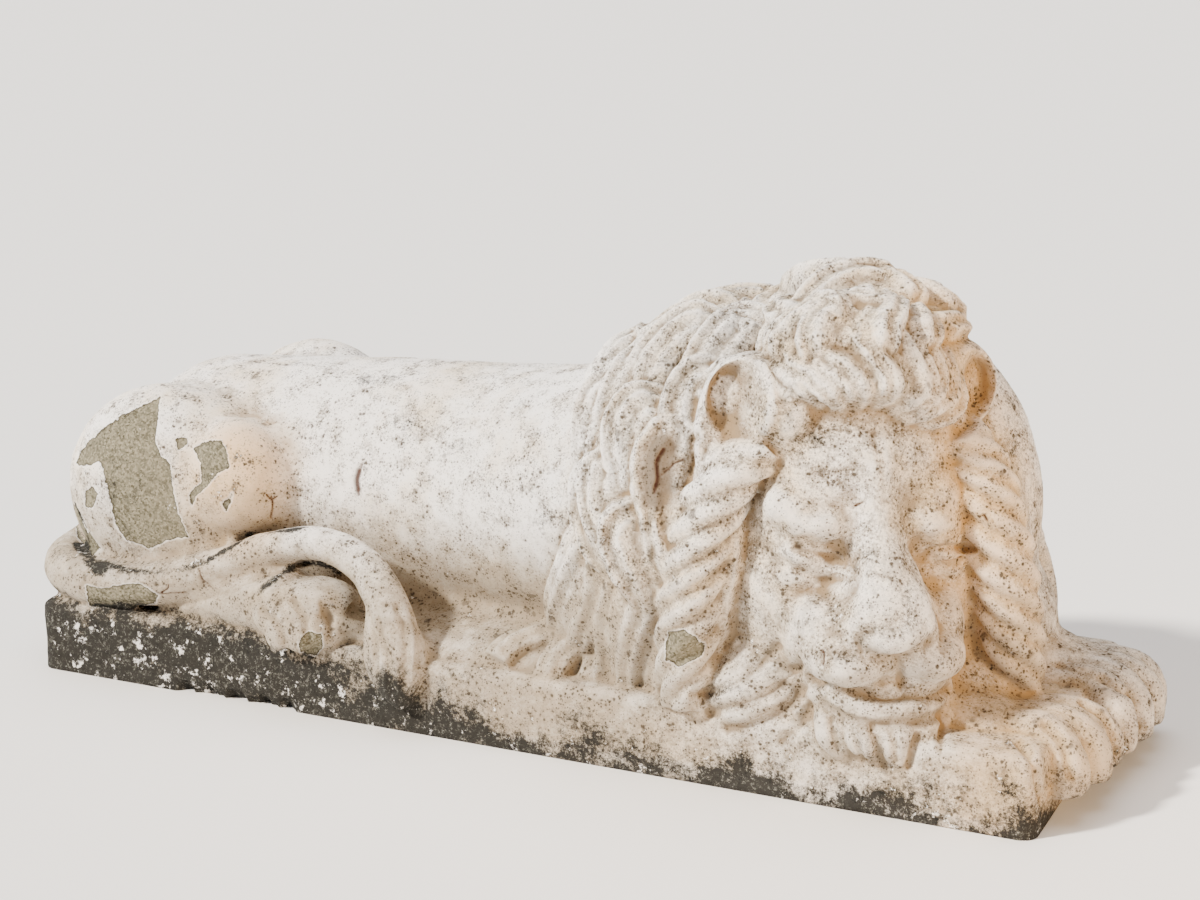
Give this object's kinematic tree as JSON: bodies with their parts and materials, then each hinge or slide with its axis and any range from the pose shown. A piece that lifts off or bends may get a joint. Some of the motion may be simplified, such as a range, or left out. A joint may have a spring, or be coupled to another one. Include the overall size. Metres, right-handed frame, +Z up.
{
  "type": "stone lion statue",
  "caption": "Lying stone lion with its head turned to one side and its chin down, cast in one with a low plinth, for a garden or gateway.",
  "frame": {"origin": "middle of the plinth on the ground, at the underside", "axes": "+X from the rump to the forepaws, -Y towards the side that the face turns to, +Z up"},
  "size_m": [1.3167, 0.4817, 0.5334],
  "materials": {
    "limewashed_cast_stone": "matt weathered limewash over sandy cast stone, with lichen and grime low down"
  },
  "bodies": {
    "root": {"lion_on_plinth": "limewashed_cast_stone"}
  },
  "joints": []
}
